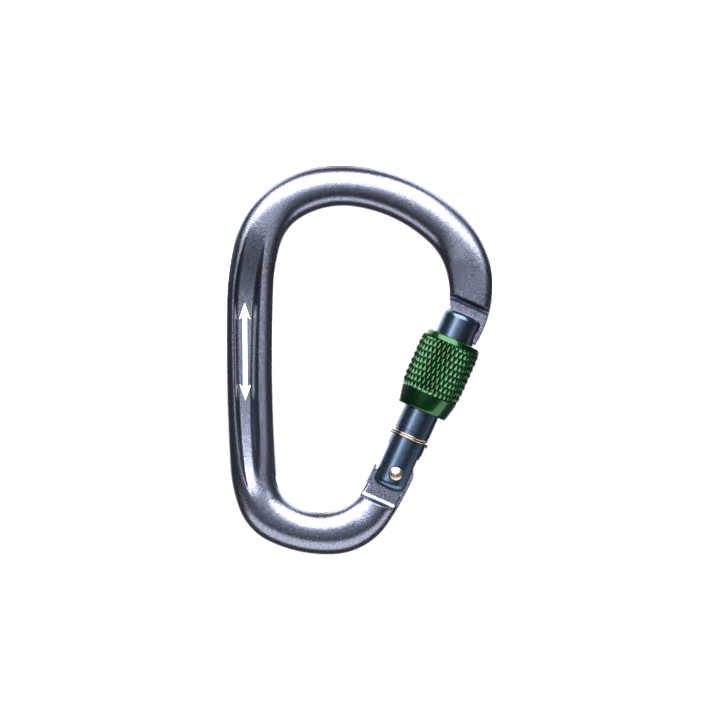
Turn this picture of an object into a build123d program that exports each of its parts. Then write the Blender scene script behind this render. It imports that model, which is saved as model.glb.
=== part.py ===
from build123d import *
from math import asin, copysign, cos, radians, sin, sqrt
import os

# A screw-gate locking carabiner of the pear shape, standing with its wide end up.
# X runs across the frame, Y through its thickness and Z up. Millimetres and degrees.

# Frame: tangent arcs, each a radius and a turn, from the nose over the top to the hinge
THICKNESS = 10.6
EDGE_ROUND = 4.2
OUTER_START = (29.96, 54.28)
OUTER_HEADING = 58.3
OUTER_BENDS = (
    (29.1, 31.8), (25.5, 49.3), (46.4, 48.5), (25.3, 69.1), (74.9, 12.3), (558, 4.3),
    (37.6, 16.9), (14.9, 43.2), (34.4, 29.0), (17.8, 53.3), (74.9, 10.5),
)
INNER_START = (23.36, 63.38)
INNER_HEADING = 92.6
INNER_BENDS = (
    (86, 4.7), (16.4, 39.6), (35, 35.2), (20.7, 38.7), (12.2, 43.0),
    (40.7, 13.8), (464, 6.1), (9.7, 52.6), (12.7, 93.1), (50.4, 7.7),
)
NOSE_BEND = 9.0
OUTER_NOSE_LEAD = 1.5
INNER_NOSE_LEAD = 4.0
OUTER_TANG_LEAD = 5.0
INNER_TANG_LEAD = 1.0

# Recess in both faces of the spine
WEB_HALF = 3.0
RECESS_TAPER = 28.0
RECESS_OUTER_WALL = -31.9
RECESS_INNER_WALL = -26.0
RECESS_WALL_TOP = 62.0
RECESS_WALL_FOOT = 32.0
RECESS_OUTER_LEAN = 0.3
RECESS_INNER_LEAN = 0.1
RECESS_OUTER_FOOT = (-28.4, 12.5)
RECESS_INNER_FOOT = (-22.4, 12.5)
RECESS_OUTER_HEAD = (-27.0, 88.0)
RECESS_INNER_HEAD = (-21.5, 84.0)
RECESS_TOP = 84.0
RECESS_BOTTOM = 15.0
RUN_OUT_TOP = 22.0
RUN_OUT_BOTTOM = 17.0

# Gate line: its lower end turns on the rivet, and its axis leans over to the right
PIVOT_X = 9.26
PIVOT_Z = 20.78
GATE_LEAN = 24.0
PIVOT_OFFSET = 0.5
RUNNING_GAP = 0.12
PIN_GAP = 0.05

# Nose, as seen from the gate: a thin neck that ends in a round bulb
NECK_HALF = 1.5
BULB_RADIUS = 2.2
BULB_REACH = 40.6
NOSE_SHOULDER = 47.0
SHOULDER_RISE = 1.2
SHOULDER_FILLET = 0.7
NOSE_SWEEP = 60.0
NOSE_CUT_DEPTH = 8.0
NECK_HEIGHT = 12.0
BULB_WINDOW_DROP = 2.0
BLADE_SIDE_HEIGHT = 8.0

# Hinge tang, with its zero on the rivet
TANG_HALF = 2.15
TANG_ROUND = 4.6
TANG_SHOULDER = -7.5
CAM_HEIGHT = 2.8
CAM_LEFT = -4.4
NOTCH_FLOOR = -0.75
HORN_TOP = 0.1
HORN_RIGHT = -5.35

# Gate, with its zero on its own axis beside the rivet
GATE_TOP = 45.0
GATE_BOTTOM = -4.5
GATE_CROWN = 0.75
GATE_EDGE = 1.5
GATE_UPPER_RADIUS = 5.2
GATE_LOWER_RADIUS = 4.73
GATE_STEP = 30.8
FLAT_TOP = 6.3
FLAT_LEAD = 1.6
FLAT_INNER = 4.2
FLAT_OUTER = 4.5
SLOT_HALF = 2.25
SLOT_ROOF = 5.5
BORE_RADIUS = 2.0
BORE_TOP = 26.0
RING_GROOVE = (8.9, 11.5)
RING_GROOVE_RADIUS = 4.62
RING_GROOVE_LEAD = 0.1
DRILL_TIP_RADIUS = 0.4
DRILL_POINT = 1.0

# Rivet
RIVET_RADIUS = 1.5
RIVET_HEAD_RADIUS = 1.75
RIVET_SEAT_RADIUS = 1.9
RIVET_SEAT = 4.2
RIVET_SEAT_CUT = 4.0
RIVET_RIM = 0.25
RIVET_DOME = 0.85

# Screw sleeve
SLEEVE_BOTTOM = 17.45
SLEEVE_TOP = 37.75
SLEEVE_RADIUS = 7.88
SLEEVE_TOP_RADIUS = 7.2
SLEEVE_BOTTOM_RADIUS = 6.43
SLEEVE_BARREL_BOTTOM = 26.5
SLEEVE_BARREL_TOP = 34.0
SLEEVE_THREAD_RADIUS = 5.05
SLEEVE_THREAD_LENGTH = 9.0
SLEEVE_BORE_RADIUS = 6.4
SLEEVE_BORE_LEAD = 0.4
SLEEVE_EDGE = 0.3

# Threads, whose crests stop short of each other
THREAD_PITCH = 1.25
THREAD_DEPTH = 0.4
THREAD_LEAD = 0.3
SLEEVE_THREAD_LEAD = 0.5
GATE_THREAD_RADIUS = 4.95
GATE_THREAD_BOTTOM = 22.0

# Stop ring of round wire
RING_MIDDLE = 9.85
RING_WIRE = 0.55
RING_INNER_RADIUS = 4.7
RING_PITCH = 0.57
RING_TURNS = 1.9

# Closing spring and its plunger
PLUNGER_RADIUS = 1.85
PLUNGER_LENGTH = 6.5
PLUNGER_TIP = 2.88
SPRING_WIRE = 0.5
SPRING_MEAN_RADIUS = 1.6
SPRING_TURNS = 16

RIVET_PLACE = Pos(PIVOT_X, 0, PIVOT_Z) * Rot(0, GATE_LEAN, 0)
GATE_PLACE = RIVET_PLACE * Pos(-PIVOT_OFFSET, 0, 0)
FAR = 30.0


def arc_chain(start, heading, bends):
    """Tangent arcs, each given as a radius and a turn, from a start point and a heading."""
    point = Vector(*start)
    tangent = Vector(cos(radians(heading)), sin(radians(heading)))
    arcs = []
    for radius, turn in bends:
        arc = JernArc(point, tangent, radius, turn)
        arcs.append(arc)
        point = arc @ 1
        tangent = arc % 1
    return arcs


def lead_in(arc, length):
    """A straight stretch that runs into the start of an arc."""
    start = arc @ 0
    return Line(start - (arc % 0) * length, start)


def lead_out(arc, length):
    """A straight stretch that runs on from the end of an arc."""
    end = arc @ 1
    return Line(end, end + (arc % 1) * length)


def rounded(face, corner, radius):
    """A flat face with the corner nearest to a point rounded off."""
    vertex = face.vertices().sort_by_distance(corner)[0]
    return fillet(vertex, radius)


def crown(rim_radius, rim_height, rise):
    """Arc of a shallow dome, from its rim to its top on the axis."""
    ball = (rim_radius**2 + rise**2) / (2 * abs(rise))
    halfway = asin(rim_radius / ball) / 2
    middle = (ball * sin(halfway), rim_height + rise - copysign(ball * (1 - cos(halfway)), rise))
    return ThreePointArc((rim_radius, rim_height), middle, (0, rim_height + rise))


def bow_bar():
    """The whole frame as one bar with rounded edges, its two ends still rough."""
    outer = arc_chain(OUTER_START, OUTER_HEADING, OUTER_BENDS)
    inner = arc_chain(INNER_START, INNER_HEADING, INNER_BENDS)
    outer_nose = lead_in(outer[0], OUTER_NOSE_LEAD)
    nose_turn = 90 - GATE_LEAN - INNER_HEADING
    inner_bend = JernArc(inner[0] @ 0, (inner[0] % 0) * -1, NOSE_BEND, nose_turn)
    inner_nose = lead_out(inner_bend, INNER_NOSE_LEAD)
    outer_tang = lead_out(outer[-1], OUTER_TANG_LEAD)
    inner_tang = lead_out(inner[-1], INNER_TANG_LEAD)
    nose_end = Line(inner_nose @ 1, outer_nose @ 0)
    tang_end = Line(outer_tang @ 1, inner_tang @ 1)
    sides = [outer_nose, *outer, outer_tang, inner_tang, *inner, inner_bend, inner_nose]
    bar = extrude(Plane.XZ * make_face([*sides, nose_end, tang_end]), THICKNESS / 2, both=True)
    flat_faces = bar.faces().sort_by(Axis.Y)
    rims = flat_faces[0].edges() + flat_faces[-1].edges()
    ends = (nose_end.length, tang_end.length)
    long_rims = [edge for edge in rims if min(abs(edge.length - end) for end in ends) > 1e-6]
    return fillet(long_rims, EDGE_ROUND)


def recess_outline():
    """The recess where it meets the face of the spine."""
    outer_high = (RECESS_OUTER_WALL, RECESS_WALL_TOP)
    outer_low = (RECESS_OUTER_WALL + RECESS_OUTER_LEAN, RECESS_WALL_FOOT)
    inner_low = (RECESS_INNER_WALL + RECESS_INNER_LEAN, RECESS_WALL_FOOT)
    inner_high = (RECESS_INNER_WALL, RECESS_WALL_TOP)
    outer_wall = Line(outer_high, outer_low)
    inner_wall = Line(inner_low, inner_high)
    outer_foot = TangentArc(outer_low, RECESS_OUTER_FOOT, tangent=outer_wall % 1)
    inner_foot = TangentArc(inner_low, RECESS_INNER_FOOT, tangent=(inner_wall % 0) * -1)
    outer_head = TangentArc(outer_high, RECESS_OUTER_HEAD, tangent=(outer_wall % 0) * -1)
    inner_head = TangentArc(inner_high, RECESS_INNER_HEAD, tangent=inner_wall % 1)
    foot = Line(outer_foot @ 1, inner_foot @ 1)
    head = Line(inner_head @ 1, outer_head @ 1)
    return make_face([outer_wall, outer_foot, foot, inner_foot, inner_wall, inner_head, head, outer_head])


def spine_recess():
    """What the forging die presses out of the front face of the spine."""
    surface = THICKNESS / 2
    plane = Plane(origin=(0, -surface, 0), x_dir=(1, 0, 0), z_dir=(0, 1, 0))
    outline = mirror(recess_outline(), about=Plane.XZ)
    walls = extrude(plane * outline, surface - WEB_HALF, taper=RECESS_TAPER)
    low = (-WEB_HALF, RECESS_BOTTOM + RUN_OUT_BOTTOM)
    high = (-WEB_HALF, RECESS_TOP - RUN_OUT_TOP)
    floor = Line(low, high)
    top_ramp = TangentArc(high, (-surface, RECESS_TOP), tangent=(0, 1))
    bottom_ramp = TangentArc(low, (-surface, RECESS_BOTTOM), tangent=(0, -1))
    side = make_face([floor, top_ramp, Line(top_ramp @ 1, bottom_ramp @ 1), bottom_ramp])
    depth = Pos(RECESS_INNER_WALL, 0, 0) * extrude(Plane.YZ * side, FAR, both=True)
    return walls & depth


def shoulder_cut(half, shoulder, reach, rise):
    """Stock milled off one face beside a blade, up to a sloping shoulder with a filleted root."""
    slope = rise / (THICKNESS / 2 - half)
    beyond = THICKNESS
    root = (half, shoulder)
    corners = [root, (beyond, shoulder + slope * (beyond - half)), (beyond, reach), (half, reach)]
    face = make_face(Polyline(*corners, close=True))
    return extrude(Plane.YZ * rounded(face, Vector(*root), SHOULDER_FILLET), FAR / 2, both=True)


def both_faces(cutter):
    """A cutter and its twin on the other face."""
    return cutter + mirror(cutter, about=Plane.XZ)


def swung(section):
    """A nose section swung about the rivet through the arc in which the gate meets it."""
    pivot_axis = Axis.Y
    start = section.rotate(pivot_axis, -NOSE_SWEEP / 2)
    return revolve(start, pivot_axis, NOSE_SWEEP)


def bulb(gap):
    """The round end of the nose."""
    return swung(Plane.YZ * Pos(0, BULB_REACH) * Circle(BULB_RADIUS + gap))


def neck(gap):
    """The thin part of the nose above its bulb."""
    section = Pos(0, BULB_REACH + NECK_HEIGHT / 2) * Rectangle(2 * (NECK_HALF + gap), NECK_HEIGHT)
    return swung(Plane.YZ * section)


def inner_block(gap):
    """The space on the inner side of the nose, out to a gap from it."""
    side = Pos(INNER_START[0], 0, INNER_START[1]) * Rot(0, 90 - INNER_HEADING, 0)
    return side * Pos(-FAR / 2 - gap, 0, 0) * Box(FAR, FAR, 2 * FAR)


def nose_cut():
    """All that is machined away round the nose."""
    reach = BULB_REACH - NOSE_CUT_DEPTH
    flats = both_faces(shoulder_cut(NECK_HALF, NOSE_SHOULDER, reach, SHOULDER_RISE))
    window = Pos(0, 0, BULB_REACH - BULB_WINDOW_DROP) * Box(2 * FAR, 2 * THICKNESS, NECK_HEIGHT)
    below = Rot(90, 0, 0) * Cylinder(BULB_REACH, 2 * THICKNESS)
    return flats + (below & window) - bulb(0)


def tang_cut():
    """All that is machined away round the hinge tang, and the hole for the rivet."""
    top = 3 * TANG_ROUND
    flats = both_faces(shoulder_cut(TANG_HALF, TANG_SHOULDER, top, -SHOULDER_RISE))
    round_start = (sqrt(TANG_ROUND**2 - CAM_HEIGHT**2), CAM_HEIGHT)
    round_end = (TANG_ROUND, 0)
    cam_round = RadiusArc(round_start, round_end, TANG_ROUND)
    left_edge = -2 * TANG_ROUND
    right_edge = 2 * TANG_ROUND
    profile = Polyline(
        round_end, (right_edge, 0), (right_edge, top), (left_edge, top), (left_edge, HORN_TOP),
        (HORN_RIGHT, HORN_TOP), (HORN_RIGHT, NOTCH_FLOOR), (CAM_LEFT, NOTCH_FLOOR),
        (CAM_LEFT, CAM_HEIGHT), round_start,
    )
    above = extrude(Plane.XZ * make_face([*profile.edges(), cam_round]), THICKNESS, both=True)
    hole = Rot(90, 0, 0) * Cylinder(RIVET_RADIUS + PIN_GAP, 2 * THICKNESS)
    return flats + above + hole


def body():
    """Forged frame with its spine recesses, nose and hinge tang."""
    frame = bow_bar() - both_faces(spine_recess())
    nose_band = RIVET_PLACE * Pos(0, 0, BULB_REACH) * Box(FAR, FAR, BLADE_SIDE_HEIGHT)
    blade_side = inner_block(0) & nose_band
    return frame - blade_side - RIVET_PLACE * nose_cut() - RIVET_PLACE * tang_cut()


def thread_line(radius, bottom, top, depth):
    """Half-section of a vee thread between two heights."""
    count = int((top - bottom) / THREAD_PITCH)
    points = []
    for turn in range(count):
        height = bottom + turn * THREAD_PITCH
        points.append((radius, height))
        points.append((radius + depth, height + THREAD_PITCH / 2))
    points.append((radius, bottom + count * THREAD_PITCH))
    return points


def gate_turning():
    """The gate as it comes off the lathe."""
    groove_bottom, groove_top = RING_GROOVE
    foot = crown(GATE_LOWER_RADIUS, GATE_BOTTOM + GATE_CROWN, -GATE_CROWN)
    head = crown(GATE_UPPER_RADIUS, GATE_TOP - GATE_CROWN, GATE_CROWN)
    side = Polyline(
        foot @ 0,
        (GATE_LOWER_RADIUS, groove_bottom), (RING_GROOVE_RADIUS, groove_bottom),
        (RING_GROOVE_RADIUS, groove_top), (GATE_LOWER_RADIUS, groove_top + RING_GROOVE_LEAD),
        (GATE_LOWER_RADIUS, GATE_THREAD_BOTTOM),
        *thread_line(GATE_THREAD_RADIUS, GATE_THREAD_BOTTOM + THREAD_LEAD, GATE_STEP, -THREAD_DEPTH),
        (GATE_LOWER_RADIUS, GATE_STEP), (GATE_UPPER_RADIUS, GATE_STEP),
        head @ 0,
    )
    section = make_face([foot, *side.edges(), head, Line(head @ 1, foot @ 1)])
    section = rounded(section, foot @ 0, GATE_EDGE)
    section = rounded(section, head @ 0, GATE_EDGE)
    return revolve(Plane.XZ * section, Axis.Z)


def gate_flat(distance):
    """Stock milled off one side of the gate's lower end, with a slanting run-out."""
    bottom = 2 * GATE_BOTTOM
    lead = (distance + FLAT_LEAD / 2, FLAT_TOP + FLAT_LEAD)
    far = 2 * GATE_UPPER_RADIUS
    corners = [(distance, bottom), (far, bottom), (far, lead[1]), lead, (distance, FLAT_TOP)]
    return extrude(Plane.XZ * make_face(Polyline(*corners, close=True)), far, both=True)


def gate():
    """Gate, slotted above for the nose and below for the tang, and bored for its spring."""
    slot_height = SLOT_ROOF - 2 * GATE_BOTTOM
    slot = Pos(0, 0, SLOT_ROOF - slot_height / 2) * Box(FAR, 2 * SLOT_HALF, slot_height)
    bore = Pos(0, 0, BORE_TOP / 2) * Cylinder(BORE_RADIUS, BORE_TOP)
    drill_point = Pos(0, 0, BORE_TOP + DRILL_POINT / 2) * Cone(BORE_RADIUS, DRILL_TIP_RADIUS, DRILL_POINT)
    rivet_hole = Pos(PIVOT_OFFSET, 0, 0) * Rot(90, 0, 0) * Cylinder(RIVET_RADIUS, FAR)
    seat_middle = Pos(PIVOT_OFFSET, -RIVET_SEAT - RIVET_SEAT_CUT / 2, 0)
    seat = seat_middle * Rot(90, 0, 0) * Cylinder(RIVET_SEAT_RADIUS, RIVET_SEAT_CUT)
    flats = gate_flat(FLAT_OUTER) + mirror(gate_flat(FLAT_INNER), about=Plane.YZ)
    blank = gate_turning() - flats - slot - bore - drill_point - rivet_hole - both_faces(seat)
    keyway = RIVET_PLACE * (bulb(RUNNING_GAP) + neck(RUNNING_GAP))
    return GATE_PLACE * blank - (keyway - inner_block(RUNNING_GAP))


def gate_rivet():
    """Hinge rivet with a domed head at each end."""
    shoulder = RIVET_SEAT + RIVET_RIM
    dome = crown(RIVET_HEAD_RADIUS, shoulder, RIVET_DOME - RIVET_RIM)
    outline = Polyline(
        (0, 0), (RIVET_RADIUS, 0), (RIVET_RADIUS, RIVET_SEAT), (RIVET_HEAD_RADIUS, RIVET_SEAT),
        (RIVET_HEAD_RADIUS, shoulder),
    )
    section = make_face([*outline.edges(), dome, Line(dome @ 1, (0, 0))])
    half = revolve(Plane.XY * section, Axis.Y)
    return RIVET_PLACE * (half + mirror(half, about=Plane.XZ))


def screw_sleeve():
    """Barrel-shaped locking sleeve, threaded below and bored out above to pass over the nose."""
    thread_top = SLEEVE_BOTTOM + SLEEVE_THREAD_LENGTH
    barrel = Line((SLEEVE_RADIUS, SLEEVE_BARREL_BOTTOM), (SLEEVE_RADIUS, SLEEVE_BARREL_TOP))
    skirt = TangentArc(barrel @ 0, (SLEEVE_BOTTOM_RADIUS, SLEEVE_BOTTOM), tangent=(0, -1))
    collar = TangentArc(barrel @ 1, (SLEEVE_TOP_RADIUS, SLEEVE_TOP), tangent=(0, 1))
    thread_foot = SLEEVE_BOTTOM + SLEEVE_THREAD_LEAD
    thread = thread_line(SLEEVE_THREAD_RADIUS, thread_foot, thread_top - THREAD_LEAD, THREAD_DEPTH)
    inside = Polyline(
        skirt @ 1, (SLEEVE_THREAD_RADIUS, SLEEVE_BOTTOM), *thread, (SLEEVE_THREAD_RADIUS, thread_top),
        (SLEEVE_BORE_RADIUS, thread_top + SLEEVE_BORE_LEAD), (SLEEVE_BORE_RADIUS, SLEEVE_TOP), collar @ 1,
    )
    section = make_face([barrel, collar, *inside.edges(), skirt])
    section = rounded(section, collar @ 1, SLEEVE_EDGE)
    section = rounded(section, skirt @ 1, SLEEVE_EDGE)
    return GATE_PLACE * revolve(Plane.XZ * section, Axis.Z)


def coil(wire, mean_radius, pitch, turns, bottom):
    """Round wire wound about the gate's axis."""
    path = Pos(0, 0, bottom) * Helix(pitch, pitch * turns, mean_radius)
    start = Plane(origin=path @ 0, z_dir=path % 0)
    return GATE_PLACE * sweep(start * Circle(wire / 2), path)


def sleeve_stop_ring():
    """Wire ring of nearly two turns that stops the sleeve on its way down."""
    bottom = RING_MIDDLE - RING_PITCH * RING_TURNS / 2
    return coil(RING_WIRE, RING_INNER_RADIUS + RING_WIRE / 2, RING_PITCH, RING_TURNS, bottom)


def spring_plunger():
    """Round-ended pin that carries the spring's push to the top of the tang."""
    tip = PLUNGER_TIP + PLUNGER_RADIUS
    shank_length = PLUNGER_LENGTH - PLUNGER_RADIUS
    shank = Pos(0, 0, tip + shank_length / 2) * Cylinder(PLUNGER_RADIUS, shank_length)
    return GATE_PLACE * (shank + Pos(0, 0, tip) * Sphere(PLUNGER_RADIUS))


def gate_spring():
    """Compression spring between the plunger and the end of the bore."""
    bottom = PLUNGER_TIP + PLUNGER_LENGTH + SPRING_WIRE / 2
    length = BORE_TOP - SPRING_WIRE / 2 - bottom
    return coil(SPRING_WIRE, SPRING_MEAN_RADIUS, length / SPRING_TURNS, SPRING_TURNS, bottom)


PARTS = {
    "body": body,
    "gate": gate,
    "gate_rivet": gate_rivet,
    "gate_spring": gate_spring,
    "screw_sleeve": screw_sleeve,
    "sleeve_stop_ring": sleeve_stop_ring,
    "spring_plunger": spring_plunger,
}

os.makedirs("parts", exist_ok=True)
for name, make in PARTS.items():
    export_step(make(), f"parts/{name}.step")
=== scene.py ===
import math

import bpy
import numpy as np
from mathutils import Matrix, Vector

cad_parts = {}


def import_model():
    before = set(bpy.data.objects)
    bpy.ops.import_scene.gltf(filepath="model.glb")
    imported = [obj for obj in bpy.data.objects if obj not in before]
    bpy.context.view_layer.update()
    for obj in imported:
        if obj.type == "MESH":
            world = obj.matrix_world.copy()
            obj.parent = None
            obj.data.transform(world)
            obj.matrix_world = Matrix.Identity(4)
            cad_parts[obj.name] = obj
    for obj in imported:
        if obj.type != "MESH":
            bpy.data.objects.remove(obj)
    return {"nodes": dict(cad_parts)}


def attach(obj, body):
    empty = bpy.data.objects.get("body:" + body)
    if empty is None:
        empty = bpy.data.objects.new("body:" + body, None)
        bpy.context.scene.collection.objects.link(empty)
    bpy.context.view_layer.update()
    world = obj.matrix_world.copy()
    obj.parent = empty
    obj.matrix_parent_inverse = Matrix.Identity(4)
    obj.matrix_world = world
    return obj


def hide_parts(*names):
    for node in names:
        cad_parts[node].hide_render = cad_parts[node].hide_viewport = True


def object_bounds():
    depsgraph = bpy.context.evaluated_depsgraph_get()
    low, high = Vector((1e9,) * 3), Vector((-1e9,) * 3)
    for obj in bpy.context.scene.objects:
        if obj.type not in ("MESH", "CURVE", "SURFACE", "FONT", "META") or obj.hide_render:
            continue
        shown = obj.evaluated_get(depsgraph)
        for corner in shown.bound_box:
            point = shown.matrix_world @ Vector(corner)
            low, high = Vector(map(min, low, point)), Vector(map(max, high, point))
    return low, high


# A screw-gate locking carabiner of the pear shape. Metres; X across, Y through the thickness, Z up.

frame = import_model()
cad_low, cad_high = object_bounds()

MM = 0.001
GATE_LEAN = math.radians(24)

# ---------------------------------------------------------------- node helpers


class Shader:
    """A material under construction, with short calls for the nodes that it needs."""

    def __init__(self, name):
        self.material = bpy.data.materials.new(name)
        self.material.use_nodes = True
        self.tree = self.material.node_tree
        self.tree.nodes.clear()
        self.output = self.tree.nodes.new("ShaderNodeOutputMaterial")

    def node(self, kind, inputs=(), **settings):
        made = self.tree.nodes.new(kind)
        for key, value in settings.items():
            setattr(made, key, value)
        for socket, value in dict(inputs).items():
            self.feed(made, socket, value)
        return made

    def feed(self, node, socket, value):
        if isinstance(value, bpy.types.NodeSocket):
            self.tree.links.new(value, node.inputs[socket])
        else:
            node.inputs[socket].default_value = value

    def millimetres(self):
        """The point on the piece, in millimetres."""
        place = self.node("ShaderNodeTexCoord").outputs["Object"]
        scaled = self.node("ShaderNodeVectorMath", {0: place}, operation="SCALE")
        scaled.inputs["Scale"].default_value = 1 / MM
        return scaled.outputs[0]

    def noise(self, place, scale, detail=2.0, roughness=0.5):
        made = self.node(
            "ShaderNodeTexNoise",
            {"Vector": place, "Scale": scale, "Detail": detail, "Roughness": roughness},
        )
        return made.outputs["Fac"]

    def spread(self, value, low, high, to_low, to_high):
        """A value taken from one range to another, and kept in it."""
        made = self.node(
            "ShaderNodeMapRange",
            {"Value": value, "From Min": low, "From Max": high, "To Min": to_low, "To Max": to_high},
        )
        return made.outputs["Result"]

    def mix(self, factor, a, b):
        made = self.node("ShaderNodeMix", data_type="RGBA")
        self.feed(made, 0, factor)
        self.feed(made, 6, a)
        self.feed(made, 7, b)
        return made.outputs[2]

    def bump(self, height, distance, normal=None):
        made = self.node("ShaderNodeBump", {"Height": height, "Distance": distance, "Strength": 1.0})
        if normal is not None:
            self.feed(made, "Normal", normal)
        return made.outputs["Normal"]

    def finish(self, colour, roughness, normal=None, metallic=1.0, **sockets):
        shader = self.node(
            "ShaderNodeBsdfPrincipled",
            {"Base Color": colour, "Roughness": roughness, "Metallic": metallic},
        )
        if normal is not None:
            self.feed(shader, "Normal", normal)
        for name, value in sockets.items():
            shader.inputs[name.replace("_", " ")].default_value = value
        self.tree.links.new(shader.outputs[0], self.output.inputs[0])
        return self.material


def blasted_aluminium():
    """Slate-blue anodised forging with a fine shot-blasted grain."""
    s = Shader("blasted_aluminium")
    place = s.millimetres()
    grain = s.noise(place, 3.0, 3.0, 0.75)
    pits = s.noise(place, 7.0, 2.0, 0.6)
    cloud = s.noise(place, 0.12, 2.0)
    speckle = s.spread(grain, 0.40, 0.62, 0, 1)
    colour = s.mix(speckle, (0.05, 0.061, 0.105, 1), (0.155, 0.178, 0.255, 1))
    roughness = s.spread(cloud, 0.3, 0.7, 0.25, 0.29)
    normal = s.bump(pits, 0.013 * MM)
    normal = s.bump(grain, 0.024 * MM, normal=normal)
    return s.finish(colour, roughness, normal, Coat_Weight=0.6, Coat_Roughness=0.22, Coat_IOR=1.6)


def satin_aluminium():
    """Turned and anodised: smoother and deeper blue than the forging."""
    s = Shader("satin_aluminium")
    place = s.millimetres()
    grain = s.noise(place, 5.0, 2.0)
    colour = s.mix(grain, (0.052, 0.08, 0.13, 1), (0.066, 0.099, 0.158, 1))
    normal = s.bump(grain, 0.002 * MM)
    return s.finish(colour, s.spread(grain, 0.3, 0.7, 0.24, 0.3), normal)


def green_aluminium():
    """Deep green anodising with a clear gloss."""
    s = Shader("green_aluminium")
    place = s.millimetres()
    grain = s.noise(place, 5.0, 2.0)
    colour = s.mix(grain, (0.0015, 0.034, 0.008, 1), (0.003, 0.056, 0.0135, 1))
    normal = s.bump(grain, 0.002 * MM)
    roughness = s.spread(grain, 0.3, 0.7, 0.3, 0.38)
    return s.finish(colour, roughness, normal, Coat_Weight=0.4, Coat_Roughness=0.1, Coat_IOR=1.6)


def stainless_steel():
    """Warm grey steel, a little dull."""
    s = Shader("stainless_steel")
    place = s.millimetres()
    grain = s.noise(place, 4.0, 2.0)
    colour = s.mix(grain, (0.28, 0.26, 0.23, 1), (0.38, 0.35, 0.31, 1))
    return s.finish(colour, s.spread(grain, 0.3, 0.7, 0.28, 0.36), s.bump(grain, 0.004 * MM))


def spring_wire():
    """Drawn wire, brighter than the turned steel."""
    s = Shader("spring_wire")
    place = s.millimetres()
    grain = s.noise(place, 6.0, 2.0)
    colour = s.mix(grain, (0.22, 0.195, 0.165, 1), (0.34, 0.30, 0.255, 1))
    return s.finish(colour, s.spread(grain, 0.3, 0.7, 0.14, 0.24), s.bump(grain, 0.002 * MM))


def white_print():
    """Pad-printed white ink, a little uneven."""
    s = Shader("white_print")
    place = s.millimetres()
    grain = s.noise(place, 4.0, 3.0, 0.6)
    colour = s.mix(grain, (0.72, 0.71, 0.70, 1), (0.86, 0.86, 0.85, 1))
    return s.finish(colour, 0.5, s.bump(grain, 0.006 * MM), metallic=0.0)


MATERIALS = {
    "white_print": white_print(),
    "blasted_aluminium": blasted_aluminium(),
    "satin_aluminium": satin_aluminium(),
    "green_aluminium": green_aluminium(),
    "stainless_steel": stainless_steel(),
    "spring_wire": spring_wire(),
}
NODE_SLOTS = {
    "body": "blasted_aluminium",
    "gate": "satin_aluminium",
    "screw_sleeve": "green_aluminium",
    "gate_rivet": "stainless_steel",
    "spring_plunger": "stainless_steel",
    "gate_spring": "spring_wire",
    "sleeve_stop_ring": "spring_wire",
}


def dress(piece, slot):
    """Gives a piece the finish that the slot names."""
    if not piece.material_slots:
        piece.data.materials.append(MATERIALS[slot])
    for place in piece.material_slots:
        place.material = MATERIALS[slot]


for name, slot in NODE_SLOTS.items():
    dress(frame["nodes"][name], slot)

# ---------------------------------------------------------------- frame bow

OUTER_START = (29.96, 54.28)
OUTER_HEADING = 58.3
OUTER_BENDS = (
    (29.1, 31.8), (25.5, 49.3), (46.4, 48.5), (25.3, 69.1), (74.9, 12.3), (558, 4.3),
    (37.6, 16.9), (14.9, 43.2), (34.4, 29.0), (17.8, 53.3), (74.9, 10.5),
)
INNER_START = (23.36, 63.38)
INNER_HEADING = 92.6
INNER_BENDS = (
    (86, 4.7), (16.4, 39.6), (35, 35.2), (20.7, 38.7), (12.2, 43.0),
    (40.7, 13.8), (464, 6.1), (9.7, 52.6), (12.7, 93.1), (50.4, 7.7),
)
OUTER_TANG_LEAD = 5
INNER_NOSE_LEAD = 10
INNER_TANG_LEAD = 5
CHAIN_STEP = 0.02


def smooth(value, start, end):
    """0 before start, 1 after end, and a smooth step between them."""
    t = np.clip((np.asarray(value, float) - start) / (end - start), 0, 1)
    return t * t * (3 - 2 * t)


def smaller(a, b, radius):
    """The smaller of two heights, with the corner between them rounded."""
    near = np.maximum(radius - np.abs(a - b), 0) / radius
    return np.minimum(a, b) - near * near * radius / 4


def larger(a, b, radius):
    return -smaller(-a, -b, radius)


def arc_chain(start, heading, bends, before, after):
    """Points and headings at even steps along tangent arcs, with straight leads at both ends."""
    turn = math.radians(heading)
    point = np.array(start, float)
    count = int(before / CHAIN_STEP)
    ahead = np.array([math.cos(turn), math.sin(turn)])
    points = [point - ahead * CHAIN_STEP * i for i in range(count, 0, -1)]
    headings = [turn] * count
    for radius, bend in bends:
        sweep = math.radians(bend)
        centre = point + radius * np.array([-math.sin(turn), math.cos(turn)])
        count = int(radius * sweep / CHAIN_STEP)
        for i in range(count):
            angle = turn + sweep * i / count
            points.append(centre + radius * np.array([math.sin(angle), -math.cos(angle)]))
            headings.append(angle)
        turn += sweep
        point = centre + radius * np.array([math.sin(turn), -math.cos(turn)])
    ahead = np.array([math.cos(turn), math.sin(turn)])
    count = int(after / CHAIN_STEP)
    points += [point + ahead * CHAIN_STEP * i for i in range(count)]
    headings += [turn] * count
    return np.array(points), np.array(headings)


def outer_edge():
    """Points and headings along the outer edge of the frame."""
    return arc_chain(OUTER_START, OUTER_HEADING, OUTER_BENDS, NOSE_LEAD, OUTER_TANG_LEAD)


def inner_edge():
    """Points along the inner edge of the frame."""
    return arc_chain(INNER_START, INNER_HEADING, INNER_BENDS, INNER_NOSE_LEAD, INNER_TANG_LEAD)[0]


RIVET = np.array([9.26, 20.78])
UP_GATE = np.array([math.sin(GATE_LEAN), math.cos(GATE_LEAN)])
ACROSS_GATE = np.array([math.cos(GATE_LEAN), -math.sin(GATE_LEAN)])
NOSE_LEAD = 3.0
TANG_END = -4.6

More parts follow.
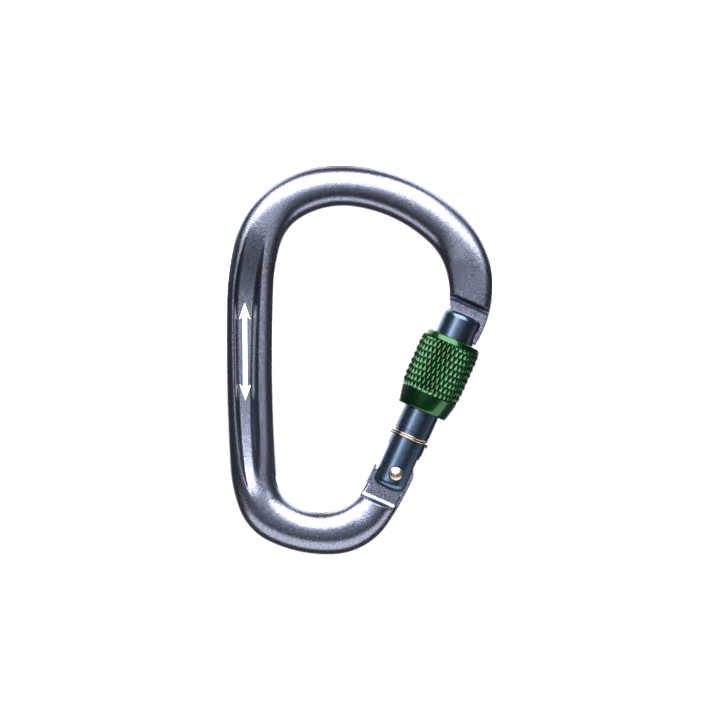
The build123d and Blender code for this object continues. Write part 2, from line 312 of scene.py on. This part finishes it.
# Stretches of the outer edge in which a section turns to stand square to the gate
NOSE_BLEND = (9, 27)
TANG_BLEND = (214, 225)
BAR_WIDTHS = (1, 22)

# Sections along the outer edge, closest together at the nose and the tang: from, to and step
NOSE_END = -0.64
NOSE_BLADE = 5.4
NOSE_BLADE_SECTIONS = 34
SECTION_RUNS = (
    (5.4, 10.2, 0.1), (10.2, 14, 0.3), (14, 216, 0.5),
    (216, 225.0, 0.3), (225.0, 229.2, 0.1), (229.2, 230.3, 0.2),
)


def stations():
    """Pairs of points, outer and inner, between which the sections of the bow lie, nose first."""
    outer, heading = outer_edge()
    inner = inner_edge()
    length = np.concatenate([[0], np.cumsum(np.hypot(*np.diff(outer, axis=0).T))]) - NOSE_LEAD
    square = math.pi - GATE_LEAN
    spots = [np.linspace(NOSE_END, NOSE_BLADE, NOSE_BLADE_SECTIONS, endpoint=False)]
    spots += [np.arange(*run) for run in SECTION_RUNS]
    rows = []
    for s in np.concatenate(spots):
        k = int(np.searchsorted(length, s))
        turn = heading[k] + math.pi / 2
        nose = 1 - smooth(s, *NOSE_BLEND)
        tang = smooth(s, *TANG_BLEND)
        turn = turn * (1 - nose) + square * nose
        turn = turn * (1 - tang) + (square + 2 * math.pi) * tang
        inward = np.array([math.cos(turn), math.sin(turn)])
        side = np.array([-inward[1], inward[0]])
        off = (inner - outer[k]) @ side
        ahead = (inner - outer[k]) @ inward
        across = (ahead[:-1] > BAR_WIDTHS[0]) & (ahead[:-1] < BAR_WIDTHS[1])
        hits = np.nonzero((off[:-1] * off[1:] <= 0) & across)[0]
        i = hits[np.argmin(ahead[hits])]
        share = off[i] / (off[i] - off[i + 1])
        hit = inner[i] + share * (inner[i + 1] - inner[i])
        rows.append((s, *outer[k], *hit))
    return np.array(rows)


SECTION_POINTS = 128
SECTION_ANGLES = 1440
FINE_POINTS = 1024
BEND_WEIGHT = 2.0
BOW_SHARP = 50
BEND_REACH = 24
BEND_SPREAD = 10.0
TURN_LIMIT = 0.3
EDGE_SMOOTH = 0.16
CUT_EDGE = 1.2

# Along the bow, in millimetres from the nose: how square the section is, and how thick
SQUARENESS = ((-5, 5.0), (18, 5.0), (34, 2.3), (88, 2.25), (103, 4.0), (160, 4.0), (176, 2.3), (240, 2.5))
THICKNESS = ((-5, 4.75), (8, 4.85), (26, 5.3), (205, 5.3), (218, 5.2), (227, 4.5), (240, 4.4))

# Recess in the spine: the half-thickness at its floor, and how its two walls stand from the outer edge
RECESS_FLOOR = (
    (101, 6.4), (107, 5.2), (113, 4.0), (118, 3.3), (122, 3.06), (126, 3.03), (148, 3.03), (156, 3.25),
    (164, 3.8), (170, 4.6), (175, 5.8), (178, 6.6),
)
RECESS_OUTER = ((100, 3.0), (126, 2.85), (150, 3.0), (162, 3.25), (180, 4.2))
RECESS_INNER = ((100, 7.9), (112, 7.5), (128, 6.8), (150, 6.1), (162, 6.0), (170, 6.15), (180, 6.8))
RECESS_OUTER_SLOPE = 2.4
RECESS_FOOT = 0.7
RECESS_REACH = (98, 184)
RECESS_INNER_SLOPE = ((100, 1.7), (125, 1.6), (150, 1.4), (162, 1.0), (172, 0.75), (180, 0.7))

# Nose, with its heights above the rivet, and hinge tang
NO_LIMIT = 30.0
THINNEST = 0.02
NOSE_CUT_END = 30
NECK_HALF = 1.5
NOSE_FILLET = 1.5
NOSE_FILLET_START = 46.5
BULB_RADIUS = 2.2
BULB_REACH = 40.6
BULB_TOP = 42.8
BULB_CORNER = 0.25
NOSE_RIM_ENDS = (38.4, 38.9)
NOSE_RIM_TOP = 43.5
NOSE_RIM_WIDTHS = (1.8, 2.5)
TANG_CUT_START = 200
TANG_HALF = 2.15
TANG_FILLET = 1.6
TANG_FILLET_START = -7.3
FILLET_SHARE = 0.985
SHOULDER_SLOPE = 6


def along(table, s):
    """A value given at some places along the bow, smoothly joined."""
    places, values = np.array(table).T
    value = np.interp(s + np.array([-3, -1.5, 0, 1.5, 3]), places, values)
    return float(value.mean())


def blade(past, half, fillet):
    """Half-thickness that milling leaves: a flat blade, then a hollow fillet that climbs to the shoulder."""
    top = FILLET_SHARE * fillet
    d = np.clip(past, 0, top)
    climb = fillet - np.sqrt(fillet**2 - d * d)
    return half + climb + np.maximum(past - top, 0) * SHOULDER_SLOPE


def nose_limit(gate_v, reach, m):
    """Half-thickness at the nose: a thin neck that ends in a bulb, and a plain rim along the outer edge."""
    neck = blade(gate_v - NOSE_FILLET_START, NECK_HALF, NOSE_FILLET)
    bulb = np.sqrt(np.maximum(BULB_RADIUS**2 - (reach - BULB_REACH) ** 2, THINNEST**2))
    joined = larger(bulb, np.where(reach > BULB_REACH, neck, 0), BULB_CORNER)
    keyed = np.where(reach < BULB_TOP, joined, neck)
    rim = NECK_HALF * np.sqrt(smooth(reach, *NOSE_RIM_ENDS)) + THINNEST
    rim = np.where(reach < NOSE_RIM_TOP, rim, neck)
    return keyed + (rim - keyed) * (1 - smooth(m, *NOSE_RIM_WIDTHS))


def recess_limit(s, m):
    """Half-thickness in the recess of the spine: a floor between two sloping walls."""
    floor = along(RECESS_FLOOR, s)
    outer_wall = floor + (along(RECESS_OUTER, s) - m) * RECESS_OUTER_SLOPE
    inner_wall = floor + (m - along(RECESS_INNER, s)) * along(RECESS_INNER_SLOPE, s)
    return larger(np.full_like(m, floor), np.maximum(outer_wall, inner_wall), RECESS_FOOT)


def height_limit(s, gate_v, reach, m):
    """How far from the middle plane the machining and the recess let the surface come."""
    if s < NOSE_CUT_END:
        return nose_limit(gate_v, reach, m)
    if s > TANG_CUT_START:
        return blade(TANG_FILLET_START - gate_v, TANG_HALF, TANG_FILLET)
    if RECESS_REACH[0] < s < RECESS_REACH[1]:
        return recess_limit(s, m)
    return np.full_like(m, NO_LIMIT)


def section(s, outer, inner):
    """One closed section of the bow as points across it and through its thickness, evenly weighted."""
    width = math.hypot(*(inner - outer))
    power = along(SQUARENESS, s)
    angle = np.linspace(0, 2 * math.pi, SECTION_ANGLES + 1)[:-1]
    c, d = np.cos(angle), np.sin(angle)
    across = np.sign(c) * np.abs(c) ** (2 / power)
    m = width / 2 * (1 - across)
    y = along(THICKNESS, s) * np.abs(d) ** (2 / power)
    place = outer + (inner - outer) * (m / width)[:, None]
    from_rivet = place - RIVET
    limit = height_limit(s, from_rivet @ UP_GATE, np.hypot(*from_rivet.T), m)
    y = np.sign(d) * np.minimum(y, smaller(y, limit, CUT_EDGE))
    ring = eased(resample(np.stack([m, y], 1), FINE_POINTS))
    return resample(ring, SECTION_POINTS, BEND_WEIGHT), width


def eased(ring):
    """A closed line of evenly spaced points with every corner rounded a little."""
    step = np.hypot(*(np.roll(ring, -1, 0) - ring).T).mean()
    wave = np.fft.fftfreq(len(ring), step)
    keep = np.exp(-2 * (math.pi * wave * EDGE_SMOOTH) ** 2)
    return np.fft.ifft(np.fft.fft(ring, axis=0) * keep[:, None], axis=0).real


def resample(ring, count, bend_weight=0.0):
    """A closed line as evenly spaced points, closer together where it bends. The first point stays."""
    ahead = np.roll(ring, -1, 0) - ring
    step = np.hypot(*ahead.T) + 1e-9
    weight = step.copy()
    if bend_weight:
        heading = np.unwrap(np.arctan2(ahead[:, 1], ahead[:, 0]))
        turn = np.abs(np.diff(heading, append=heading[0] + 2 * math.pi))
        turn = np.minimum(turn, TURN_LIMIT)
        kernel = np.exp(-(np.arange(-BEND_REACH, BEND_REACH + 1) / BEND_SPREAD) ** 2)
        wrapped = np.concatenate([turn[-BEND_REACH:], turn, turn[:BEND_REACH]])
        turn = np.convolve(wrapped, kernel / kernel.sum(), "valid")
        weight = step / step.sum() + bend_weight * turn / turn.sum()
    gone = np.concatenate([[0], np.cumsum(weight)])
    wanted = np.linspace(0, gone[-1], count, endpoint=False)
    closed = np.concatenate([ring, ring[:1]])
    return np.stack([np.interp(wanted, gone, closed[:, i]) for i in range(2)], 1)


def mesh_piece(name, vertices, faces, body):
    """A smooth-shaded piece from points in millimetres, riding on a body."""
    mesh = bpy.data.meshes.new(name)
    mesh.from_pydata((np.asarray(vertices) * MM).tolist(), [], faces)
    mesh.validate()
    mesh.shade_smooth()
    made = bpy.data.objects.new(name, mesh)
    bpy.context.scene.collection.objects.link(made)
    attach(made, body)
    return made


def tube_faces(rings, around):
    """Quads between rings of points, and a flat cap on each end."""
    faces = []
    for i in range(rings - 1):
        for j in range(around):
            k = (j + 1) % around
            faces.append((i * around + j, i * around + k, (i + 1) * around + k, (i + 1) * around + j))
    faces.append(tuple(range(around - 1, -1, -1)))
    faces.append(tuple(range((rings - 1) * around, rings * around)))
    return faces


def bow():
    """The frame, swept section by section from its nose to its hinge shoulder."""
    rows = stations()
    vertices = []
    for s, outer_x, outer_z, inner_x, inner_z in rows:
        outer, inner = np.array([outer_x, outer_z]), np.array([inner_x, inner_z])
        ring, width = section(s, outer, inner)
        place = outer + (inner - outer) * (ring[:, :1] / width)
        vertices.append(np.stack([place[:, 0], -ring[:, 1], place[:, 1]], 1))
    made = mesh_piece("frame_bow", np.concatenate(vertices), tube_faces(len(rows), SECTION_POINTS), "frame")
    dress(made, "blasted_aluminium")
    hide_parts("body")
    made.data.set_sharp_from_angle(angle=math.radians(BOW_SHARP))


def arc_points(centre, radius, start, end, count):
    """Points on an arc, its angles in degrees."""
    angles = np.radians(np.linspace(start, end, count))
    return [(centre[0] + radius * math.cos(a), centre[1] + radius * math.sin(a)) for a in angles]


def plate(name, outline, front, back):
    """A flat-faced piece between two depths, from an outline across and up."""
    count = len(outline)
    vertices = [(x, front, z) for x, z in outline] + [(x, back, z) for x, z in outline]
    faces = [tuple(range(count)), tuple(range(2 * count - 1, count - 1, -1))]
    faces += [(j, j + count, (j + 1) % count + count, (j + 1) % count) for j in range(count)]
    made = mesh_piece(name, vertices, faces, "frame")
    made.data.shade_flat()
    return made


TANG_PLATE_HALF = 2.145
TANG_OVERLAP = 0.3
TANG_ROUND = 4.6
TANG_ROUND_ANGLES = (2, 37.5)
TANG_ROUND_POINTS = 14
TANG_SIDE_POINTS = 900
TANG_SIDE_STEP = 25
TANG_RIGHT_FOOT = 4.0
CAM_RIGHT = 3.62
CAM_HEIGHT = 2.8
CAM_LEFT = -4.4
NOTCH_FLOOR = -0.75
HORN_RIGHT = -5.35
HORN_TOP = 0.1
OUTER_SIDE_TOP = -0.4
INNER_SIDE_TOP = 0.05
TANG_EASE = 0.18
TANG_EASE_ANGLE = 40


def tang():
    """The part of the hinge tang that the gate turns on, as a plate with eased edges."""
    frame_axes = np.stack([ACROSS_GATE, UP_GATE], 1)
    bottom = TANG_END - TANG_OVERLAP
    outer = ((outer_edge()[0][-TANG_SIDE_POINTS:] - RIVET) @ frame_axes)[::TANG_SIDE_STEP]
    inner = ((inner_edge()[-TANG_SIDE_POINTS:] - RIVET) @ frame_axes)[::TANG_SIDE_STEP]
    outer = [p for p in outer if bottom < p[1] < OUTER_SIDE_TOP]
    inner = [p for p in inner if bottom < p[1] < INNER_SIDE_TOP]
    outline = [
        (TANG_RIGHT_FOOT, bottom), *outer,
        *arc_points((0, 0), TANG_ROUND, *TANG_ROUND_ANGLES, TANG_ROUND_POINTS),
        (CAM_RIGHT, CAM_HEIGHT), (CAM_LEFT, CAM_HEIGHT), (CAM_LEFT, NOTCH_FLOOR), (HORN_RIGHT, NOTCH_FLOOR),
        (HORN_RIGHT, HORN_TOP), (inner[-1][0], HORN_TOP), *inner[::-1],
    ]
    flat = np.array(outline) @ frame_axes.T + RIVET
    made = plate("hinge_tang", flat, -TANG_PLATE_HALF, TANG_PLATE_HALF)
    dress(made, "blasted_aluminium")
    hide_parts("body")
    ease = made.modifiers.new("ease", "BEVEL")
    ease.width = TANG_EASE * MM
    ease.segments = 3
    ease.limit_method = "ANGLE"
    ease.angle_limit = math.radians(TANG_EASE_ANGLE)


bow()
tang()

# ---------------------------------------------------------------- screw sleeve

PIVOT_OFFSET = 0.5
GATE_AXIS = RIVET - PIVOT_OFFSET * ACROSS_GATE

# Barrel: its largest radius, and how it narrows below and above its straight part
BARREL_RADIUS = 7.86
BARREL_BOTTOM = 26.5
BARREL_TOP = 34.0
SKIRT_DROP = 1.45
SKIRT_LENGTH = 9.05
COLLAR_DROP = 0.68
COLLAR_LENGTH = 3.75

# Knurl: diamonds round the sleeve, and the height and depth of the pattern
SLEEVE_COUNT = 35
SLEEVE_PERIOD = 3.34
DIAMOND_STEPS = 12
KNURL_BOTTOM = 22.1
KNURL_HEIGHT = 14.2
KNURL_DEPTH = 0.44
KNURL_RIDGE = 0.5
KNURL_CREST = 0.86
KNURL_CREST_EDGE = 0.1
KNURL_FADE = 2.0
SLEEVE_SHARP = 38

# Plain bands, as radii and heights: the lower inside and foot, then the top rim and upper inside
LOWER_RIM = ((5.15, 26.4), (5.15, 17.9), (5.55, 17.46), (6.1, 17.45), (6.28, 17.49), (6.4, 17.62))
LOWER_BAND = (17.8, 18.4, 19.2, 20.0, 20.8, 21.5, 21.95)
LOWER_BAND_END = (22.0, 22.02)
UPPER_BAND_RISES = (0.08, 0.4, 0.8)
UPPER_BAND_TOP = 37.3
UPPER_RIM = (
    (7.2, 37.52), (7.1, 37.66), (6.95, 37.73), (6.8, 37.75),
    (6.55, 37.72), (6.42, 37.6), (6.4, 37.4), (6.4, 26.9),
)


def on_gate(radius, angle, v):
    """A point round the gate's axis: angle 0 faces the front."""
    across = radius * np.sin(angle)
    x, z = (GATE_AXIS + across[..., None] * ACROSS_GATE + v[..., None] * UP_GATE).T
    return np.stack([x.T, -radius * np.cos(angle), z.T], -1)


def sleeve_radius(v):
    """The barrel's plain outline."""
    low = BARREL_BOTTOM - np.minimum(v, BARREL_BOTTOM)
    high = np.maximum(v, BARREL_TOP) - BARREL_TOP
    return BARREL_RADIUS - SKIRT_DROP * (low / SKIRT_LENGTH) ** 2 - COLLAR_DROP * (high / COLLAR_LENGTH) ** 2


def knurl_radius(heights, i, j):
    """Radius of the knurled surface at each step round the sleeve and up it."""
    a, b = (i + j) / DIAMOND_STEPS, (i - j) / DIAMOND_STEPS
    rise_a = 1 - np.abs(2 * (a % 1) - 1)
    rise_b = 1 - np.abs(2 * (b % 1) - 1)
    rise = smaller(rise_a, rise_b, KNURL_RIDGE)
    rise = np.minimum(rise, smaller(rise, np.full_like(rise, KNURL_CREST), KNURL_CREST_EDGE))
    fade = smooth(np.minimum(j, len(heights) - 1 - j), 0, KNURL_FADE)
    return sleeve_radius(heights)[:, None] - KNURL_DEPTH * fade * (1 - rise / KNURL_CREST)


def sleeve_faces(count, around, first, rows_up):
    """Faces between closed rings, split along the grooves in the knurled rows."""
    faces = []
    for r in range(count):
        q = (r + 1) % count
        row = r - first
        for c in range(around):
            d = (c + 1) % around
            w, x, y, z = r * around + c, r * around + d, q * around + d, q * around + c
            knurled = 0 <= row < rows_up
            if knurled and (c + row + 1) % DIAMOND_STEPS == 0:
                faces += [(w, x, z), (x, y, z)]
            elif knurled and (c - row) % DIAMOND_STEPS == 0:
                faces += [(w, x, y), (w, y, z)]
            else:
                faces.append((w, x, y, z))
    return faces


def sleeve():
    """Turned barrel, diamond-knurled between two plain bands, and bored out to the thread."""
    around = SLEEVE_COUNT * DIAMOND_STEPS
    rows_up = int(round(KNURL_HEIGHT / SLEEVE_PERIOD * DIAMOND_STEPS))
    heights = KNURL_BOTTOM + SLEEVE_PERIOD / DIAMOND_STEPS * np.arange(rows_up + 1)
    i = np.arange(around)[None, :]
    j = np.arange(rows_up + 1)[:, None]
    turn = i / around * 2 * math.pi

    def rings(radius, height):
        shape = (len(height), around)
        return on_gate(*(np.broadcast_to(part, shape) for part in (radius, turn, height[:, None])))

    def turned(rows):
        radii, up = np.array(rows).T
        return rings(radii[:, None], up)

    below = [*LOWER_RIM, *((float(sleeve_radius(v)), v) for v in LOWER_BAND)]
    below.append((float(sleeve_radius(LOWER_BAND_END[0])), LOWER_BAND_END[1]))
    top = float(heights[-1])
    upper_band = [*(top + rise for rise in UPPER_BAND_RISES), UPPER_BAND_TOP]
    above = [*((float(sleeve_radius(v)), v) for v in upper_band), *UPPER_RIM]
    points = np.concatenate([turned(below), rings(knurl_radius(heights, i, j), heights), turned(above)])
    faces = sleeve_faces(len(points), around, len(below), rows_up)
    made = mesh_piece("knurled_sleeve", points.reshape(-1, 3), faces, "sleeve")
    dress(made, "green_aluminium")
    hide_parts("screw_sleeve")
    made.data.set_sharp_from_angle(angle=math.radians(SLEEVE_SHARP))


sleeve()

# ---------------------------------------------------------------- printed mark

MARK_X = -29.45
MARK_LEAN = 0.008
MARK_FRONT = 3.07
MARK_INK = 0.04
MARK_ROOT = 0.1
MARK_LOW = 39.6
MARK_HIGH = 64.6
MARK_HEAD = 4.2
MARK_BARB = 0.8
MARK_SHAFT_HALF = 0.55
MARK_HEAD_HALF = 1.5


def mark():
    """A plain double-headed arrow along the spine, which shows the axis to load."""
    low_barb, high_barb = MARK_LOW + MARK_HEAD, MARK_HIGH - MARK_HEAD
    low_neck, high_neck = low_barb - MARK_BARB, high_barb + MARK_BARB
    right = [
        (0, MARK_LOW), (MARK_HEAD_HALF, low_barb), (MARK_SHAFT_HALF, low_neck), (MARK_SHAFT_HALF, high_neck),
        (MARK_HEAD_HALF, high_barb),
    ]
    left = [
        (0, MARK_HIGH), (-MARK_HEAD_HALF, high_barb), (-MARK_SHAFT_HALF, high_neck),
        (-MARK_SHAFT_HALF, low_neck), (-MARK_HEAD_HALF, low_barb),
    ]
    middle = (MARK_LOW + MARK_HIGH) / 2
    flat = [(MARK_X + x - MARK_LEAN * (z - middle), z) for x, z in right + left]
    made = plate("axis_mark", flat, -MARK_FRONT - MARK_INK, -MARK_FRONT + MARK_ROOT)
    made.data.materials.append(MATERIALS["white_print"])


mark()

# ---------------------------------------------------------------- studio


def area_light(name, width, height, radiance, colour):
    """A rectangular light that gives a surface radiance and isn't seen by the camera."""
    data = bpy.data.lights.new(name, "AREA")
    data.shape = "RECTANGLE"
    data.size, data.size_y = width, height
    data.color = colour
    data.energy = radiance * math.pi * width * height
    light = bpy.data.objects.new(name, data)
    light.visible_camera = False
    bpy.context.scene.collection.objects.link(light)
    return light


def panel(name, azimuth, elevation, distance, width, height, radiance, colour=(1, 1, 1)):
    """A soft light that faces the object. Azimuth 0 is in front of it and 90 on its right."""
    light = area_light(name, width, height, radiance, colour)
    centre = (cad_low + cad_high) / 2
    a, e = math.radians(azimuth), math.radians(elevation)
    toward = Vector((math.sin(a) * math.cos(e), -math.cos(a) * math.cos(e), math.sin(e)))
    light.location = centre + toward * distance
    light.rotation_mode = "QUATERNION"
    light.rotation_quaternion = (-toward).to_track_quat("-Z", "Y")


def card(name, place, width, depth, radiance, colour):
    """A small light that lies flat and faces up."""
    light = area_light(name, width, depth, radiance, colour)
    light.location = place
    light.rotation_euler = (math.pi, 0, 0)


FLOOR_HALF = 3.0
FLOOR_FADE = (0.08, 0.30)


def floor():
    """A pale floor that runs out into white away from the object."""
    s = Shader("floor_white")
    place = s.node("ShaderNodeTexCoord").outputs["Object"]
    away = s.node("ShaderNodeVectorMath", {0: place}, operation="LENGTH").outputs["Value"]
    far = s.spread(away, *FLOOR_FADE, 0, 1)
    pale = s.node("ShaderNodeBsdfDiffuse", {"Color": (0.8, 0.8, 0.8, 1)})
    white = s.node("ShaderNodeEmission", {"Color": (1, 1, 1, 1), "Strength": 1.0})
    mix = s.node("ShaderNodeMixShader", {0: far, 1: pale.outputs[0], 2: white.outputs[0]})
    s.tree.links.new(mix.outputs[0], s.output.inputs[0])
    mesh = bpy.data.meshes.new("floor")
    corners = [(-1, -1), (1, -1), (1, 1), (-1, 1)]
    mesh.from_pydata([(x * FLOOR_HALF, y * FLOOR_HALF, 0) for x, y in corners], [], [(0, 1, 2, 3)])
    mesh.materials.append(s.material)
    made = bpy.data.objects.new("floor", mesh)
    bpy.context.scene.collection.objects.link(made)
    made.visible_glossy = False
    made.visible_shadow = False


WORLD_FILL = 0.12


def world():
    """White to the camera, and a dim even light to everything else."""
    made = bpy.data.worlds.new("studio")
    bpy.context.scene.world = made
    made.use_nodes = True
    tree = made.node_tree
    tree.nodes.clear()
    output = tree.nodes.new("ShaderNodeOutputWorld")
    white = tree.nodes.new("ShaderNodeBackground")
    white.inputs[0].default_value = (1, 1, 1, 1)
    fill = tree.nodes.new("ShaderNodeBackground")
    fill.inputs[0].default_value = (1, 1, 1, 1)
    fill.inputs[1].default_value = WORLD_FILL
    path = tree.nodes.new("ShaderNodeLightPath")
    mix = tree.nodes.new("ShaderNodeMixShader")
    tree.links.new(path.outputs["Is Camera Ray"], mix.inputs[0])
    tree.links.new(fill.outputs[0], mix.inputs[1])
    tree.links.new(white.outputs[0], mix.inputs[2])
    tree.links.new(mix.outputs[0], output.inputs[0])


CAMERA_PLACE = (0.0001, -1.5, 0.04997)
CAMERA_SCALE = 0.18504


def camera():
    """A camera without perspective, square to the front."""
    data = bpy.data.cameras.new("camera")
    data.type = "ORTHO"
    data.ortho_scale = CAMERA_SCALE
    made = bpy.data.objects.new("camera", data)
    made.location = CAMERA_PLACE
    made.rotation_euler = (math.radians(90), 0, 0)
    bpy.context.scene.collection.objects.link(made)
    bpy.context.scene.camera = made


floor()
world()
camera()
panel("softbox_top", 0, 42, 0.7, 0.95, 0.88, 10.5, (1.0, 0.94, 0.86))
panel("softbox_front", -6, 0, 0.7, 0.9, 0.6, 0.37, (0.86, 0.93, 1.0))
card("card_below", (0, -0.04, -0.054), 0.3, 0.08, 3.4, (1.0, 0.94, 0.88))
panel("strip_right", 97, -24, 0.7, 0.2, 0.3, 0.8)
panel("strip_left", -97, 24, 0.7, 0.16, 0.3, 0.6)
panel("back_low", 180, 14, 0.8, 0.9, 0.4, 4.0)
panel("back_left", -140, 38, 0.8, 0.7, 0.7, 4.0)
panel("back_right", 140, 38, 0.8, 0.7, 0.7, 4.0)
panel("softbox_back", 180, -2, 0.9, 0.9, 0.6, 0.6)
bpy.context.scene.view_settings.view_transform = "Standard"
